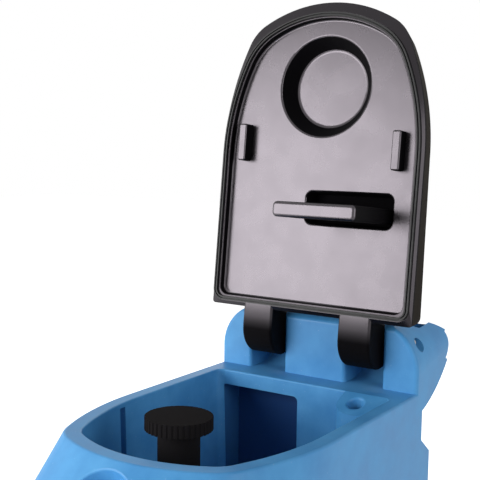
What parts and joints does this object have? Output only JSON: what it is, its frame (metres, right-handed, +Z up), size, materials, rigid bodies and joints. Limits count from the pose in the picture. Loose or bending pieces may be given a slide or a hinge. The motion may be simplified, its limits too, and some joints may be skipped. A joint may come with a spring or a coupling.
{
  "type": "wheeled wet shop vacuum",
  "caption": "Wheeled wet vacuum with a moulded blue recovery tank, a tall hinge tower, an open black hinged lid, a capped standpipe and a dark base.",
  "frame": {"origin": "on the floor, under the middle of the machine's box with the lid open", "axes": "+Z up, -Y towards the nose of the tank, +X towards the side of the inlet boss"},
  "size_m": [0.3966, 0.7504, 1.1168],
  "materials": {
    "tank_blue": "satin moulded polyethylene",
    "lid_black": "glossy moulded",
    "black_plastic": "moulded",
    "base_grey": "fine grain",
    "rubber_black": "soft",
    "tyre_grey": "solid tyre",
    "steel": "zinc plated",
    "nylon_cream": "plain",
    "fan_tin": "tinned sheet",
    "cast_aluminium": "die cast",
    "laminations": "varnished",
    "carbon": "plain",
    "foam_grey": "open cell",
    "float_white": "foam",
    "rocker_red": "plain",
    "wheel_grey": "moulded"
  },
  "bodies": {
    "body": {"recovery_tank": "tank_blue", "base_housing": "base_grey", "base_screws": "steel", "hinge_pin": "steel", "hinge_pin_caps": "nylon_cream", "lid_buffers": "rubber_black", "standpipe": "black_plastic", "standpipe_seal": "rubber_black", "standpipe_nut": "black_plastic", "inlet_spigot": "black_plastic", "inlet_screws": "steel", "drain_spigot": "black_plastic", "switch_frame": "black_plastic", "cable_gland": "black_plastic", "motor_plate": "fan_tin", "motor_screws": "steel", "fan_housing": "fan_tin", "motor_gasket": "rubber_black", "diffuser_plate": "fan_tin", "motor_frame": "cast_aluminium", "motor_end_bracket": "cast_aluminium", "stator_core": "laminations", "carbon_brushes": "carbon", "motor_bearings": "steel", "exhaust_foam": "foam_grey", "exhaust_grille": "black_plastic", "grille_screws": "steel", "rear_axle": "steel", "axle_blocks": "black_plastic", "axle_block_screws": "steel", "wheel_spacers": "nylon_cream", "axle_caps": "black_plastic", "caster_plates": "steel", "caster_screws": "steel"},
    "lid": {"lid_liner": "lid_black", "lid_cover": "lid_black", "lid_gasket": "rubber_black", "splash_baffle": "black_plastic", "hinge_bushes": "nylon_cream"},
    "cap": {"standpipe_cap": "black_plastic", "cap_seal": "rubber_black"},
    "float": {"float_ring": "float_white"},
    "rotor": {"motor_shaft": "steel", "upper_impeller": "cast_aluminium", "lower_impeller": "cast_aluminium", "armature": "laminations"},
    "rocker": {"switch_rocker": "rocker_red"},
    "drain_closure": {"drain_cap": "black_plastic"},
    "right_road_wheel": {"right_wheel": "wheel_grey", "right_tyre": "tyre_grey"},
    "left_road_wheel": {"left_wheel": "wheel_grey", "left_tyre": "tyre_grey"},
    "right_caster": {"right_caster_fork": "steel"},
    "left_caster": {"left_caster_fork": "steel"},
    "right_caster_roller": {"right_caster_wheel": "wheel_grey", "right_caster_tyre": "tyre_grey"},
    "left_caster_roller": {"left_caster_wheel": "wheel_grey", "left_caster_tyre": "tyre_grey"}
  },
  "joints": [
    {"name": "lid_hinge", "type": "hinge", "parent": "body", "child": "lid", "pos_m": [0, 0.2714, 0.5997], "axis": [1, 0, 0], "range_deg": [0, 96.4]},
    {"name": "cap_turn", "type": "hinge", "parent": "body", "child": "cap", "pos_m": [0, -0.114, 0.54], "axis": [0, 0, 1], "range_deg": [0, 90]},
    {"name": "float_rise", "type": "slide", "parent": "body", "child": "float", "axis": [0, 0, 1], "range_m": [0, 0.0495]},
    {"name": "motor_spin", "type": "hinge", "parent": "body", "child": "rotor", "pos_m": [0, -0.114, 0.2], "axis": [0, 0, 1], "continuous": true},
    {"name": "switch_rock", "type": "hinge", "parent": "body", "child": "rocker", "pos_m": [-0.01, 0.2975, 0.38], "axis": [-1, 0, 0], "range_deg": [0, 20]},
    {"name": "drain_cap_turn", "type": "hinge", "parent": "body", "child": "drain_closure", "pos_m": [-0.076, 0.32, 0.324], "axis": [0, 1, 0], "range_deg": [0, 270]},
    {"name": "right_wheel_roll", "type": "hinge", "parent": "body", "child": "right_road_wheel", "pos_m": [0.172, 0.241, 0.1], "axis": [1, 0, 0], "continuous": true},
    {"name": "left_wheel_roll", "type": "hinge", "parent": "body", "child": "left_road_wheel", "pos_m": [-0.172, 0.241, 0.1], "axis": [1, 0, 0], "continuous": true},
    {"name": "right_caster_swivel", "type": "hinge", "parent": "body", "child": "right_caster", "pos_m": [0.08, -0.209, 0.105], "axis": [0, 0, 1], "continuous": true},
    {"name": "right_caster_roll", "type": "hinge", "parent": "right_caster", "child": "right_caster_roller", "pos_m": [0.08, -0.181, 0.04], "axis": [1, 0, 0], "continuous": true},
    {"name": "left_caster_swivel", "type": "hinge", "parent": "body", "child": "left_caster", "pos_m": [-0.08, -0.209, 0.105], "axis": [0, 0, 1], "continuous": true},
    {"name": "left_caster_roll", "type": "hinge", "parent": "left_caster", "child": "left_caster_roller", "pos_m": [-0.08, -0.181, 0.04], "axis": [1, 0, 0], "continuous": true}
  ]
}
